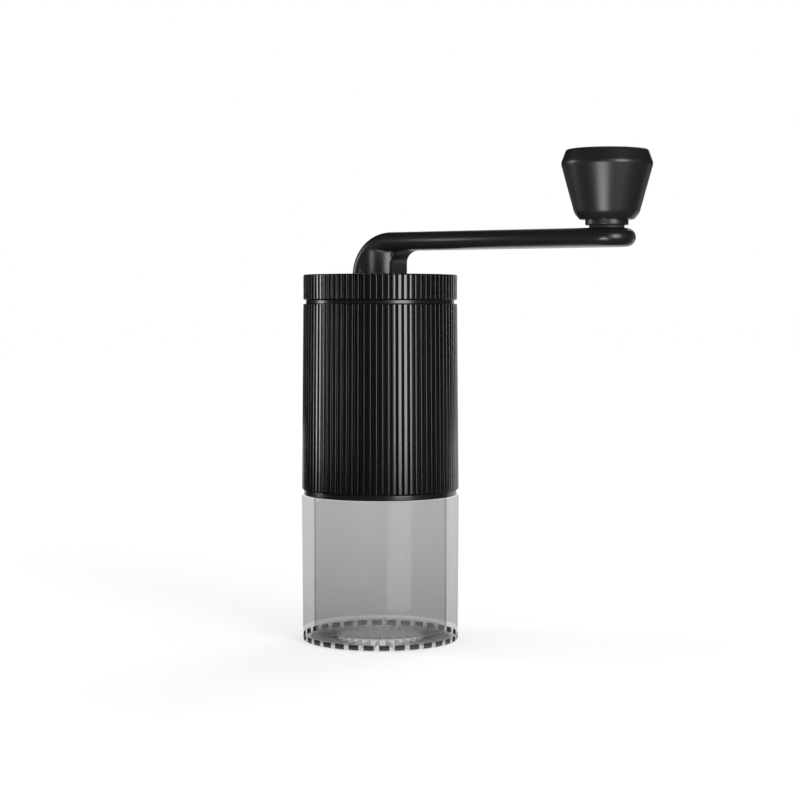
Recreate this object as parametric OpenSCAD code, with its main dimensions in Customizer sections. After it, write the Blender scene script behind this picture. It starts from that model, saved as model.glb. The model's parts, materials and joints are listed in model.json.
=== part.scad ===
// Hand crank coffee grinder: a ribbed barrel with conical burrs, a clear
// grounds jar below, a lid above and a crank that turns in the lid.
// Origin: centre of the jar's foot. +Z runs up the grinding axis and the
// crank points along +X. Lengths are in millimetres.

/* [Barrel] */
// Radius over the ribs of the barrel
barrel_r = 25.6; // [22:0.1:34]
// Height of the ribbed sleeve
sleeve_h = 61.2; // [58:0.1:90]
// Number of ribs round the barrel and the lid
rib_count = 80; // [40:1:96]
// Depth of the grooves between the ribs
rib_depth = 0.6; // [0.3:0.05:1]
// Share of the pitch that the flat top of a rib takes
rib_share = 0.5; // [0.35:0.01:0.6]
// Wall of the sleeve behind the grooves
sleeve_wall = 0.85; // [0.6:0.05:1.4]
// Wall of the chamber tube
tube_wall = 1.8; // [1.4:0.1:2.2]
// Height of the rim on top of the chamber tube
rim_h = 1.25; // [1:0.05:3]
// How far the rim lies inside the tops of the ribs
rim_inset = 1.15; // [0.8:0.05:1.3]

/* [Grounds jar] */
// How far the jar's shoulder stands out past the ribs
jar_step = 0.4; // [0.2:0.05:1]
// Height of the jar's outer wall
jar_h = 48.1; // [35:0.1:80]
// How much narrower the foot is than the shoulder, on the radius
jar_draft = 0.34; // [0:0.02:1]
// Thickness of the jar's floor
jar_floor = 3; // [2.5:0.1:6]
// Height of the neck that plugs into the collar
neck_h = 7; // [5:0.5:9]
// Wall of the neck
neck_wall = 1.2; // [1:0.1:2]
// Number of notches round the foot
notch_count = 32; // [16:1:40]
// Width of one notch
notch_w = 1.6; // [0.8:0.1:2]
// Height of the notches
notch_h = 1.75; // [0.8:0.05:2]
// Radius of the plain disc inside the notches
foot_disc_r = 14.6; // [10:0.2:18]

/* [Burrs] */
// Outer radius of the ring burr
burr_r = 19; // [18:0.25:19.5]
// Height of the ring burr
burr_h = 10; // [8:0.5:12]
// Gap between the burrs at the finest setting
burr_gap = 0.3; // [0.2:0.05:0.6]
// How far the inner burr drops at the coarsest setting
burr_travel = 1.5; // [0.5:0.1:2]
// Height of the collar's visible lip
lip_h = 1.7; // [1:0.1:4]
// How far the lip lies inside the tops of the ribs
lip_inset = 0.37; // [0.1:0.02:1]
// Wall of the burr housing round the jar's neck
housing_wall = 1; // [0.8:0.1:1.5]
// Thickness of the ledge under the ring burr
ledge_t = 2; // [1.5:0.1:3]
// Radius of the grind dial
dial_r = 12.5; // [10:0.5:15]
// Thickness of the grind dial
dial_h = 4.5; // [3.5:0.25:6]

/* [Shaft and bearings] */
// Radius of the drive shaft
shaft_r = 3; // [2.5:0.1:3.5]
// Corner radius of the six-sided drive end
hex_r = 2.8; // [2:0.1:3]
// Outer radius of the ball bearings
bearing_r = 6.5; // [6:0.25:8]
// Width of the ball bearings
bearing_w = 5; // [4:0.25:6]
// Number of balls in a bearing
ball_count = 9; // [6:1:10]
// Width of the bracket arms
arm_w_bracket = 4; // [3:0.25:6]
// Height of the spring over the inner burr
spring_h = 7.8; // [6:0.1:12]

/* [Lid] */
// Height of the lid above the rim
lid_h = 8.33; // [6:0.01:14]
// How far the lid's ribs lie inside the barrel's ribs
lid_inset = 0.28; // [0:0.02:1]
// Thickness of the lid's top
lid_top_t = 2.2; // [1.6:0.1:3]
// Depth of the dish in the lid's top
dish_t = 0.6; // [0.3:0.05:1]
// Length of the skirt that reaches into the chamber
skirt_h = 4.7; // [4:0.1:6]

/* [Crank] */
// Distance from the grinding axis to the knob's axis
crank_r = 81.4; // [60:0.1:110]
// Width of the crank arm
arm_w = 18; // [16:0.5:22]
// Thickness of the crank arm
arm_t = 5.75; // [4.5:0.05:7]
// Inner radius of the arm's bend
bend_r = 8.2; // [7:0.01:12]
// Distance from the grinding axis to the centre of the bend
bend_x = 7.5; // [6.5:0.1:9]
// Radius of the hub under the arm
hub_r = 8.95; // [8.5:0.05:10]
// Distance from the grinding axis to the hub's flat
hub_flat = 7.2; // [6.6:0.1:8]
// Radius of the hub's spigot in the lid
spigot_r = 6.5; // [6:0.1:7]

/* [Knob] */
// Largest radius of the knob
knob_r = 14.2; // [12:0.2:18]
// Height of the knob
knob_h = 23.2; // [20:0.2:32]
// Radius of the knob's flat top
knob_top_r = 12.6; // [10:0.1:16]
// Radius of the foot of the knob's cone
knob_foot_r = 10; // [8:0.1:11]
// Radius of the knob's neck
knob_neck_r = 6.65; // [5.6:0.05:7.5]
// Radius of the spindle in the knob
spindle_r = 2.5; // [2:0.1:3]

/* [Fits] */
// Radial gap of pressed and seated pieces
seat_gap = 0.02; // [0.01:0.01:0.04]
// Radial gap of pieces that turn or slide
run_gap = 0.06; // [0.03:0.01:0.09]

/* [Hidden] */
$fn = 96;
eps = 0.01;
cut = 1;

// Radii, from the ribs inwards
root_r = barrel_r - rib_depth;
core_r = root_r - sleeve_wall - seat_gap;
tube_in_r = core_r - tube_wall;
socket_r = core_r - housing_wall;
neck_r = socket_r - run_gap;
jar_in_r = neck_r - neck_wall;
jar_r = barrel_r + jar_step;
spigot_wall_r = tube_in_r - seat_gap;

// Heights, from the jar's foot upwards
collar_z = jar_h;
sleeve_z = collar_z + lip_h;
neck_clear = 0.4;
ledge_z = collar_z + neck_h + neck_clear;
burr_z = ledge_z + ledge_t;
burr_top_z = burr_z + burr_h;
housing_shoulder_z = sleeve_z + 10;
rim_z = sleeve_z + sleeve_h;
lid_z = rim_z + rim_h;
lid_top_z = lid_z + lid_h;
dish_z = lid_top_z - dish_t;

// Burrs
burr_waist_z = burr_z + 0.54 * burr_h;
ledge_in_r = burr_r - 1.1;
burr_outlet_r = burr_r - 1.8;
burr_waist_r = burr_r - 4.4;
burr_mouth_r = burr_r - 2;
inner_top_r = 7.5;
inner_foot_z = burr_z - 0.6;
click_t = 0.8;
click_z = inner_foot_z - click_t;
click_r = dial_r - 2;
dial_z = click_z - dial_h;
clamp_t = 1.5;
clamp_r = tube_in_r - 0.3;
clamp_in_r = burr_mouth_r + 0.6;
clamp_screw_r = (burr_r + spigot_wall_r) / 2;
screw_r = 1;

// Bearings and their brackets
race_t = 1;
groove_r = 1;
ball_r = groove_r - run_gap;
ball_hole_h = 2 * ball_r + run_gap;
ball_ring_r = (bearing_r + shaft_r) / 2;
washer_t = 0.7;
bracket_ledge = 1.5;
bracket_bore_r = bearing_r + seat_gap;
bracket_eye_r = bearing_r - 0.8;
bracket_hub_r = bearing_r + 2.1;
bracket_rim_t = 1.8;
lower_bearing_z = burr_top_z + spring_h + washer_t;
upper_bearing_z = rim_z - 5.65 - bearing_w;
bracket_angles = [90, 210, 330];
shaft_foot_z = dial_z + 0.3;
hex_z = lid_z - 0.2;
spring_wire_r = 0.5;
spring_r = shaft_r + 1.5;
spring_turns = 5.5;
spring_steps = 16;
spring_sides = 6;
drive_pin_z = burr_waist_z + 1.8;
drive_pin_l = 11;

// Lid
lid_r = barrel_r - lid_inset;
lid_root_r = lid_r - rib_depth;
skirt_r = tube_in_r - 0.1;
skirt_in_r = skirt_r - 1.6;
seal_t = 1.5;
seal_depth = 0.7;
lid_seal_z = lid_z - skirt_h + 1.4;
bush_t = 1.3;
bush_r = spigot_r + run_gap + bush_t;
boss_r = bush_r + 2;
boss_z = lid_z + 0.5;
bush_top_z = dish_z + 0.25;

// Crank
hub_z = dish_z + 0.3;
arm_z = hub_z + bend_r;
arm_top_z = arm_z + arm_t;
hub_fillet_r = 4.5;
clip_t = 0.7;
clip_z = boss_z - 0.2 - clip_t;
clip_depth = 0.8;
spigot_foot_z = clip_z - 0.9;
insert_r = spigot_r - 1.95;
insert_foot_z = spigot_foot_z + 0.3;
shaft_top_z = hub_z + 2.5;
insert_top_z = shaft_top_z + 1;

// Knob
washer_gap = run_gap;
knob_washer_t = 0.8;
knob_z = arm_top_z + knob_washer_t + 2 * washer_gap;
knob_neck_h = 1.7;
knob_foot_h = 1.9;
knob_chamfer_h = 4.3;
bush_h = knob_h - 8.2;
knob_bush_r = spindle_r + 1.5;
head_t = 1.4;
head_r = spindle_r + 1.7;
cap_t = 1.5;
cap_r = head_r + 2.6;
spindle_foot_z = arm_top_z - 0.8 * arm_t;

black = [0.06, 0.06, 0.065];
steel = [0.72, 0.73, 0.75];
dark_steel = [0.4, 0.41, 0.43];
polymer = [0.16, 0.16, 0.17];
silicone = [0.1, 0.1, 0.1];
smoke = [0.55, 0.56, 0.58, 0.45];

// ---------------------------------------------------------------- helpers

// Outline of a ribbed cylinder: a flat rib top and a flat groove per pitch
module ribbed_outline(r) {
    pitch = 360 / rib_count;
    top = rib_share * pitch / 2;
    root = (1 - rib_share) * pitch * 0.42;
    polygon([for (i = [0 : rib_count - 1]) each [
        r * [cos(i * pitch - top), sin(i * pitch - top)],
        r * [cos(i * pitch + top), sin(i * pitch + top)],
        (r - rib_depth) * [cos((i + 0.5) * pitch - root), sin((i + 0.5) * pitch - root)],
        (r - rib_depth) * [cos((i + 0.5) * pitch + root), sin((i + 0.5) * pitch + root)]
    ]]);
}

// A plain ring from z to z + h
module ring(r_out, r_in, z, h) {
    translate([0, 0, z])
        difference() {
            cylinder(r = r_out, h = h);
            translate([0, 0, -cut])
                cylinder(r = r_in, h = h + 2 * cut);
        }
}

// A spring clip: a thin ring with a gap that faces the given way
module clip(r_out, r_in, z, h, gap, facing) {
    difference() {
        ring(r_out, r_in, z, h);
        rotate(facing)
            translate([r_in / 2, -gap / 2, z - cut])
                cube([r_out, gap, h + 2 * cut]);
    }
}

// A groove cut into a cone, along the line from (r1, z1) to (r2, z2)
module cone_groove(r1, z1, r2, z2, turn, lean, size) {
    length = norm([r2 - r1, z2 - z1]) + 4;
    tilt = atan2(r2 - r1, z2 - z1);
    rotate(turn)
        translate([(r1 + r2) / 2, 0, (z1 + z2) / 2])
            rotate([lean, 0, 0])
                rotate([0, tilt, 0])
                    cylinder(r = size, h = length, $fn = 4, center = true);
}

// ------------------------------------------------------------ barrel body

module body_sleeve() {
    color(black)
        translate([0, 0, sleeve_z])
            difference() {
                linear_extrude(sleeve_h) ribbed_outline(barrel_r);
                translate([0, 0, -cut])
                    cylinder(r = core_r + seat_gap, h = sleeve_h + 2 * cut);
            }
}

// The clearance of a bracket's radial screws, or the screws themselves
module bracket_screw_set(z, gap) {
    tip_r = tube_in_r - bracket_rim_t - 2.5;
    head = 0.9;
    head_top_r = core_r - 0.15;
    for (a = bracket_angles)
        rotate(a)
            translate([0, 0, z])
                rotate([0, 90, 0]) {
                    translate([0, 0, tip_r - gap])
                        cylinder(r = screw_r + gap, h = head_top_r - tip_r, $fn = 32);
                    translate([0, 0, head_top_r - head - gap])
                        cylinder(r = 1.8 * screw_r + gap, h = head + (gap > 0 ? cut : 0), $fn = 32);
                }
}

module all_bracket_screws(gap) {
    bracket_screw_set(lower_bearing_z + bearing_w / 2, gap);
    bracket_screw_set(upper_bearing_z + bearing_w / 2, gap);
}

module chamber_tube() {
    color(polymer)
        difference() {
            union() {
                ring(core_r, tube_in_r, housing_shoulder_z, lid_z - housing_shoulder_z);
                ring(barrel_r - rim_inset, tube_in_r, rim_z, rim_h);
            }
            all_bracket_screws(seat_gap);
        }
}

module burr_housing() {
    color(black)
        difference() {
            rotate_extrude()
                polygon([
                    [socket_r, collar_z],
                    [barrel_r - lip_inset, collar_z],
                    [barrel_r - lip_inset, sleeve_z],
                    [core_r, sleeve_z],
                    [core_r, housing_shoulder_z],
                    [spigot_wall_r, housing_shoulder_z],
                    [spigot_wall_r, burr_top_z],
                    [burr_r + seat_gap, burr_top_z],
                    [burr_r + seat_gap, burr_z],
                    [ledge_in_r, burr_z],
                    [ledge_in_r, ledge_z],
                    [socket_r, ledge_z]
                ]);
            clamp_screw_set(seat_gap);
        }
}

module ring_burr() {
    color(dark_steel)
        difference() {
            rotate_extrude()
                polygon([
                    [burr_r, burr_z],
                    [burr_r, burr_top_z],
                    [burr_mouth_r, burr_top_z],
                    [burr_waist_r, burr_waist_z],
                    [burr_outlet_r, burr_z]
                ]);
            for (i = [0 : 11])
                cone_groove(burr_waist_r, burr_waist_z, burr_mouth_r, burr_top_z,
                    30 * i, 20, 1.1);
            for (i = [0 : 29])
                cone_groove(burr_outlet_r, burr_z, burr_waist_r, burr_waist_z,
                    12 * i, -12, 0.5);
        }
}

module burr_clamp_ring() {
    color(steel)
        difference() {
            ring(clamp_r, clamp_in_r, burr_top_z, clamp_t);
            clamp_screw_set(seat_gap);
        }
}

module clamp_screw_set(gap) {
    reach = 5;
    head = 0.9;
    for (a = bracket_angles)
        rotate(a)
            translate([clamp_screw_r, 0, burr_top_z]) {
                translate([0, 0, -reach - gap])
                    cylinder(r = 0.8 * screw_r + gap, h = reach + clamp_t + head + gap, $fn = 32);
                translate([0, 0, clamp_t])
                    cylinder(r = 1.25 * screw_r, h = head, $fn = 32);
            }
}

module clamp_screws() {
    color(steel) clamp_screw_set(0);
}

// A three-armed bracket with its bearing seat, ledge side down, from z = 0
module bracket() {
    tall = bearing_w + bracket_ledge;
    rim_r = tube_in_r - seat_gap;
    difference() {
        union() {
            cylinder(r = bracket_hub_r, h = tall);
            ring(rim_r, rim_r - bracket_rim_t, bracket_ledge, bearing_w);
            for (a = bracket_angles)
                rotate(a)
                    translate([0, -arm_w_bracket / 2, bracket_ledge])
                        cube([rim_r - bracket_rim_t / 2, arm_w_bracket, bearing_w]);
        }
        translate([0, 0, bracket_ledge])
            cylinder(r = bracket_bore_r, h = bearing_w + cut);
        translate([0, 0, -cut])
            cylinder(r = bracket_eye_r, h = tall + 2 * cut);
    }
}

module lower_bracket() {
    color(polymer)
        difference() {
            translate([0, 0, lower_bearing_z - bracket_ledge]) bracket();
            all_bracket_screws(seat_gap);
        }
}

module upper_bracket() {
    color(polymer)
        difference() {
            translate([0, 0, upper_bearing_z + bearing_w + bracket_ledge])
                mirror([0, 0, 1]) bracket();
            all_bracket_screws(seat_gap);
        }
}

module bracket_screws() {
    color(steel) all_bracket_screws(0);
}

// Groove for the balls, as a ring of round section
module ball_track(z) {
    translate([0, 0, z + bearing_w / 2])
        rotate_extrude()
            translate([ball_ring_r, 0])
                circle(r = groove_r, $fn = 32);
}

module outer_race(z) {
    color(steel)
        difference() {
            ring(bearing_r, bearing_r - race_t, z, bearing_w);
            ball_track(z);
        }
}

module inner_race(z) {
    color(steel)
        difference() {
            ring(shaft_r + race_t, shaft_r + seat_gap, z, bearing_w);
            ball_track(z);
        }
}

module bearing_balls() {
    color(steel)
        for (z = [lower_bearing_z, upper_bearing_z], i = [0 : ball_count - 1])
            rotate(360 * i / ball_count)
                translate([ball_ring_r, 0, z + bearing_w / 2])
                    sphere(r = ball_r, $fn = 32);
}

// ------------------------------------------------------------------ rotor

module drive_pin(gap) {
    translate([0, 0, drive_pin_z])
        rotate([0, 90, 0])
            cylinder(r = screw_r + gap, h = drive_pin_l, $fn = 32, center = true);
}

module drive_shaft() {
    clip_seat_z = upper_bearing_z + bearing_w + run_gap;
    color(steel)
        difference() {
            union() {
                translate([0, 0, shaft_foot_z])
                    cylinder(r = shaft_r, h = hex_z - shaft_foot_z);
                translate([0, 0, hex_z - eps])
                    cylinder(r = hex_r, h = shaft_top_z - hex_z, $fn = 6);
            }
            ring(shaft_r + cut, shaft_r - 0.4, clip_seat_z, washer_t + 2 * seat_gap);
            drive_pin(seat_gap);
        }
}

module shaft_clip() {
    color(steel)
        clip(shaft_r + 1.6, shaft_r - 0.4 + seat_gap,
            upper_bearing_z + bearing_w + run_gap + seat_gap, washer_t, 1.6, 45);
}

module spring_washer() {
    color(steel)
        ring(shaft_r + 2.3, shaft_r + seat_gap, lower_bearing_z - washer_t, washer_t);
}

module burr_drive_pin() {
    color(steel) drive_pin(0);
}

// A round wire swept along a helix, one ring of points per step
module burr_spring() {
    foot = burr_top_z + spring_wire_r + 0.1;
    rise = spring_h - 2 * spring_wire_r - 0.2;
    steps = spring_turns * spring_steps;
    slope = atan2(rise, 2 * PI * spring_r * spring_turns);
    rows = [for (i = [0 : steps])
        let (a = 360 * i / spring_steps, z = foot + rise * i / steps)
        for (k = [0 : spring_sides - 1])
            let (b = 360 * k / spring_sides,
                 out = spring_wire_r * cos(b), up = spring_wire_r * sin(b))
            [(spring_r + out) * cos(a) + up * sin(slope) * sin(a),
             (spring_r + out) * sin(a) - up * sin(slope) * cos(a),
             z + up * cos(slope)]];
    sides = [for (i = [0 : steps - 1], k = [0 : spring_sides - 1])
        let (n = (k + 1) % spring_sides, here = i * spring_sides, next = here + spring_sides)
        [here + k, next + k, next + n, here + n]];
    first = [for (k = [0 : spring_sides - 1]) k];
    last = [for (k = [spring_sides - 1 : -1 : 0]) steps * spring_sides + k];
    color(steel) polyhedron(rows, concat(sides, [first, last]));
}

// ------------------------------------------------- inner burr and its dial

module inner_burr() {
    gap_waist_r = burr_waist_r - burr_gap;
    gap_outlet_r = burr_outlet_r - burr_gap;
    slot_z = drive_pin_z - screw_r - 0.1;
    color(dark_steel)
        difference() {
            rotate_extrude()
                polygon([
                    [shaft_r + run_gap, inner_foot_z],
                    [gap_outlet_r, inner_foot_z],
                    [gap_outlet_r, burr_z],
                    [gap_waist_r, burr_waist_z],
                    [inner_top_r, burr_top_z],
                    [shaft_r + run_gap, burr_top_z]
                ]);
            translate([-drive_pin_l / 2 - 0.2, -screw_r - run_gap, slot_z])
                cube([drive_pin_l + 0.4, 2 * (screw_r + run_gap), burr_top_z - slot_z + cut]);
            for (i = [0 : 7])
                cone_groove(gap_waist_r, burr_waist_z, inner_top_r, burr_top_z,
                    45 * i + 22.5, -24, 1.6);
            for (i = [0 : 29])
                cone_groove(gap_outlet_r, burr_z, gap_waist_r, burr_waist_z,
                    12 * i, 12, 0.5);
        }
}

module click_plate() {
    color(steel)
        difference() {
            ring(click_r, shaft_r + run_gap, click_z, click_t);
            for (i = [0 : 11])
                rotate(30 * i)
                    translate([click_r - 2, 0, click_z - 0.45])
                        sphere(r = ball_r - 0.1, $fn = 32);
        }
}

module grind_dial() {
    grips = 18;
    color(polymer)
        difference() {
            ring(dial_r, shaft_r + run_gap, dial_z, dial_h);
            for (i = [0 : grips - 1])
                rotate(360 * (i + 0.5) / grips)
                    translate([dial_r + 0.5, 0, dial_z - cut])
                        cylinder(r = 1.3, h = dial_h + 2 * cut, $fn = 32);
            for (a = [0, 180])
                rotate(a)
                    translate([click_r - 2, 0, click_z - ball_hole_h])
                        cylinder(r = ball_r + run_gap, h = ball_hole_h + cut, $fn = 32);
        }
}

module detent_balls() {
    color(steel)
        for (a = [0, 180])
            rotate(a)
                translate([click_r - 2, 0, click_z - ball_r])
                    sphere(r = ball_r, $fn = 32);
}

// -------------------------------------------------------------------- lid

module lid() {
    color(black)
        difference() {
            union() {
                translate([0, 0, lid_z])
                    linear_extrude(lid_h) ribbed_outline(lid_r);
                ring(skirt_r, skirt_in_r, lid_z - skirt_h, skirt_h + cut);
            }
            difference() {
                translate([0, 0, lid_z - skirt_h - cut])
                    cylinder(r = skirt_in_r, h = skirt_h + cut + lid_h - lid_top_t);
                translate([0, 0, boss_z])
                    cylinder(r = boss_r, h = lid_h);
            }
            translate([0, 0, dish_z])
                cylinder(r = lid_root_r - 2, h = dish_t + cut);
            translate([0, 0, lid_z])
                cylinder(r = bush_r + seat_gap, h = lid_h + cut);
            ring(skirt_r + cut, skirt_r - seal_depth, lid_seal_z, seal_t);
        }
}

module lid_seal() {
    color(silicone)
        ring(tube_in_r - run_gap, skirt_r - seal_depth + seat_gap, lid_seal_z + seat_gap,
            seal_t - 2 * seat_gap);
}

module lid_bush() {
    color(polymer)
        ring(bush_r, spigot_r + run_gap, boss_z, bush_top_z - boss_z);
}

// ------------------------------------------------------------------ crank

// Section of the arm: a flat bar with fully rounded sides, centred on x = 0
module arm_section() {
    side = arm_w / 2 - arm_t / 2;
    union() {
        translate([-side, -arm_t / 2]) square([2 * side, arm_t]);
        for (s = [-1, 1])
            translate([s * side, 0]) circle(r = arm_t / 2, $fn = 64);
    }
}

module arm_bar() {
    mid_z = arm_z + arm_t / 2;
    // straight stretch
    translate([bend_x, 0, mid_z])
        rotate([90, 0, 90])
            linear_extrude(crank_r - bend_x) arm_section();
    // round end below the knob
    translate([crank_r, 0, mid_z])
        rotate_extrude()
            intersection() {
                arm_section();
                translate([0, -arm_t]) square([arm_w, 2 * arm_t]);
            }
    // bend down to the lid
    translate([bend_x, 0, hub_z])
        rotate([-90, 180, 0])
            rotate_extrude(angle = 90)
                translate([bend_r + arm_t / 2, 0])
                    rotate(90) arm_section();
}

// The hub fills the inside of the bend and ends in a flat towards the knob
module arm_hub() {
    intersection() {
        translate([0, 0, hub_z]) cylinder(r = hub_r, h = bend_r + arm_t / 2);
        translate([bend_x, 0, hub_z])
            rotate([90, 0, 0])
                cylinder(r = bend_r + arm_t / 2, h = 3 * hub_r, center = true);
        translate([-2 * hub_r, -2 * hub_r, 0])
            cube([2 * hub_r + hub_flat, 4 * hub_r, arm_top_z]);
    }
}

// Fillet between the hub's flat and the arm's underside
module hub_fillet() {
    half = sqrt(pow(hub_r, 2) - pow(hub_flat, 2)) - 0.1;
    difference() {
        translate([hub_flat - eps, -half, arm_z - hub_fillet_r])
            cube([hub_fillet_r + eps, 2 * half, hub_fillet_r + arm_t / 2]);
        translate([hub_flat + hub_fillet_r, 0, arm_z - hub_fillet_r])
            rotate([90, 0, 0])
                cylinder(r = hub_fillet_r, h = 4 * hub_r, center = true);
    }
}

module crank_arm() {
    color(black)
        difference() {
            union() {
                arm_bar();
                arm_hub();
                hub_fillet();
                translate([0, 0, spigot_foot_z])
                    cylinder(r = spigot_r, h = hub_z - spigot_foot_z + cut);
            }
            translate([0, 0, spigot_foot_z - cut])
                cylinder(r = insert_r + seat_gap, h = insert_top_z - spigot_foot_z + 2 * cut);
            ring(spigot_r + cut, spigot_r - clip_depth, clip_z - seat_gap, clip_t + 2 * seat_gap);
            translate([crank_r, 0, spindle_foot_z - 0.1])
                cylinder(r = spindle_r + seat_gap, h = arm_t + cut);
        }
}

module drive_socket() {
    color(steel)
        difference() {
            translate([0, 0, insert_foot_z])
                cylinder(r = insert_r, h = insert_top_z - insert_foot_z);
            translate([0, 0, insert_foot_z - cut])
                cylinder(r = hex_r + 2 * run_gap, h = shaft_top_z - insert_foot_z + cut + 0.3, $fn = 6);
            translate([0, 0, insert_foot_z - cut])
                cylinder(r = shaft_r + 0.3, h = hex_z + 0.4 - insert_foot_z + cut);
        }
}

module crank_clip() {
    color(steel)
        clip(spigot_r + 2.1, spigot_r - clip_depth + seat_gap, clip_z, clip_t, 4, 200);
}

module knob_spindle() {
    shoulder_z = knob_z + bush_h + 0.1;
    color(steel)
        translate([crank_r, 0, 0])
            difference() {
                union() {
                    translate([0, 0, spindle_foot_z])
                        cylinder(r = spindle_r, h = shoulder_z - spindle_foot_z + eps);
                    translate([0, 0, shoulder_z])
                        cylinder(r = head_r, h = head_t);
                }
                translate([-head_r - cut, -0.5, shoulder_z + head_t - 0.7])
                    cube([2 * head_r + 2 * cut, 1, cut]);
            }
}

module knob_washer() {
    color(polymer)
        translate([crank_r, 0, 0])
            ring(knob_neck_r - 1.2, spindle_r + run_gap, arm_top_z + washer_gap, knob_washer_t);
}

// ------------------------------------------------------------------- knob

module knob() {
    color(black)
        translate([crank_r, 0, knob_z])
            difference() {
                rotate_extrude()
                    polygon([
                        [0, 0],
                        [knob_neck_r, 0],
                        [knob_neck_r, knob_neck_h],
                        [knob_foot_r - 1.6, knob_neck_h],
                        [knob_foot_r, knob_neck_h + knob_foot_h],
                        [knob_r, knob_h - knob_chamfer_h],
                        [knob_top_r, knob_h],
                        [0, knob_h]
                    ]);
                translate([0, 0, -cut])
                    cylinder(r = knob_bush_r + seat_gap, h = bush_h + cut);
                translate([0, 0, bush_h - eps])
                    cylinder(r = head_r + 1, h = knob_h);
                translate([0, 0, knob_h - cap_t])
                    cylinder(r = cap_r + seat_gap, h = cap_t + cut);
            }
}

module knob_bush() {
    color(polymer)
        translate([crank_r, 0, 0])
            ring(knob_bush_r, spindle_r + run_gap, knob_z, bush_h);
}

module knob_cap() {
    edge = 0.3;
    color(black)
        translate([crank_r, 0, knob_z + knob_h - cap_t])
            rotate_extrude()
                polygon([
                    [0, 0],
                    [cap_r, 0],
                    [cap_r, cap_t - edge],
                    [cap_r - edge, cap_t],
                    [0, cap_t]
                ]);
}

// -------------------------------------------------------------------- jar

module grounds_jar() {
    foot_r = jar_r - jar_draft;
    edge = 0.8;
    fillet = 1.5;
    groove_z = jar_h + neck_h - 3.2;
    color(smoke)
        difference() {
            rotate_extrude()
                difference() {
                    polygon([
                        [0, 0],
                        [foot_r - edge / 2, 0],
                        [foot_r, edge / 2],
                        [jar_r, jar_h - edge],
                        [jar_r - edge, jar_h],
                        [neck_r, jar_h],
                        [neck_r, jar_h + neck_h],
                        [0, jar_h + neck_h]
                    ]);
                    translate([0, jar_floor + fillet])
                        square([jar_in_r, jar_h + neck_h]);
                    translate([0, jar_floor])
                        square([jar_in_r - fillet, jar_h]);
                    translate([jar_in_r - fillet, jar_floor + fillet])
                        circle(r = fillet, $fn = 48);
                }
            ring(jar_r, neck_r - 0.6, groove_z, 1.6);
            for (i = [0 : notch_count - 1])
                rotate(360 * (i + 0.5) / notch_count)
                    translate([foot_disc_r, -notch_w / 2, -cut])
                        cube([jar_r, notch_w, notch_h + cut]);
        }
}

module jar_seal() {
    groove_z = jar_h + neck_h - 3.2;
    color(silicone)
        ring(socket_r - 0.02, neck_r - 0.6 + seat_gap, groove_z + seat_gap,
            1.6 - 2 * seat_gap);
}

body_sleeve();
chamber_tube();
burr_housing();
ring_burr();
burr_clamp_ring();
clamp_screws();
lower_bracket();
upper_bracket();
bracket_screws();
outer_race(lower_bearing_z);  // lower_outer_race
outer_race(upper_bearing_z);  // upper_outer_race
bearing_balls();
drive_shaft();
inner_race(lower_bearing_z);  // lower_inner_race
inner_race(upper_bearing_z);  // upper_inner_race
shaft_clip();
spring_washer();
burr_drive_pin();
burr_spring();
inner_burr();
click_plate();
grind_dial();
detent_balls();
lid();
lid_seal();
lid_bush();
crank_arm();
drive_socket();
crank_clip();
knob_spindle();
knob_washer();
knob();
knob_bush();
knob_cap();
grounds_jar();
jar_seal();
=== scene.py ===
# %% [markdown]
# # A hand crank coffee grinder
#
# The grinder is a black ribbed barrel with a clear jar below it, a ribbed lid above
# it and a bent crank arm that ends in a cone-shaped knob. The packed CAD model is
# the fixed frame: it says where every piece sits and how it moves. This script
# gives the pieces their soft edges and their finish.

# %% Load the frame
import json
import math

import bmesh
import bpy
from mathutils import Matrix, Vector


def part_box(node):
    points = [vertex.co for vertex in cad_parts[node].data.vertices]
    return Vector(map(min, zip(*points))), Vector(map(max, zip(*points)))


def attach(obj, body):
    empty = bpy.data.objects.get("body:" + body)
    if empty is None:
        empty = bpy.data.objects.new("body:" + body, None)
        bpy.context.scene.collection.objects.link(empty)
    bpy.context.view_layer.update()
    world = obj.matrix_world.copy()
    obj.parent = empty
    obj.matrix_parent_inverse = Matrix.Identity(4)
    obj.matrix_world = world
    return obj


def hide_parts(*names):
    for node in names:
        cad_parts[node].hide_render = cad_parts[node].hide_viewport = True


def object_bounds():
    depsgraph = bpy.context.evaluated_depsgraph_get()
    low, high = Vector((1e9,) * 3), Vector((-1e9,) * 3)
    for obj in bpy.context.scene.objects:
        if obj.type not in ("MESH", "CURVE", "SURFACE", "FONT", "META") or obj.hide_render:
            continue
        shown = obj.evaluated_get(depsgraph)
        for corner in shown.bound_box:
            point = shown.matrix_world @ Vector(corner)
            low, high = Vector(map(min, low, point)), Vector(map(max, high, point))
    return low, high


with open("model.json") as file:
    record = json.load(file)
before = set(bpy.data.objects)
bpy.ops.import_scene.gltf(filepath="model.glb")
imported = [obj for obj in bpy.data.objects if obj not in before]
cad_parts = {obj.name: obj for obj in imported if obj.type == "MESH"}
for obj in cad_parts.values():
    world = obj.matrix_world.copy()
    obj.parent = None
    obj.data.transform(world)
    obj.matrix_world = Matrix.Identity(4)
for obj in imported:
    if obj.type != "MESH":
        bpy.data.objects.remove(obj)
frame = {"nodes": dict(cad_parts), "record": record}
cad_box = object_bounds()
MM = 0.001
print("CAD box in mm:", [round(v / MM, 1) for corner in cad_box for v in corner])

# %% [markdown]
# ## The camera
#
# A long lens, a little above the middle of the grinder and aimed slightly down,
# shows the jar's floor as a thin ellipse and hides the lid's top. The crank points
# along +X, so a camera swung round by 31 degrees sees the arm come forward.

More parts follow.
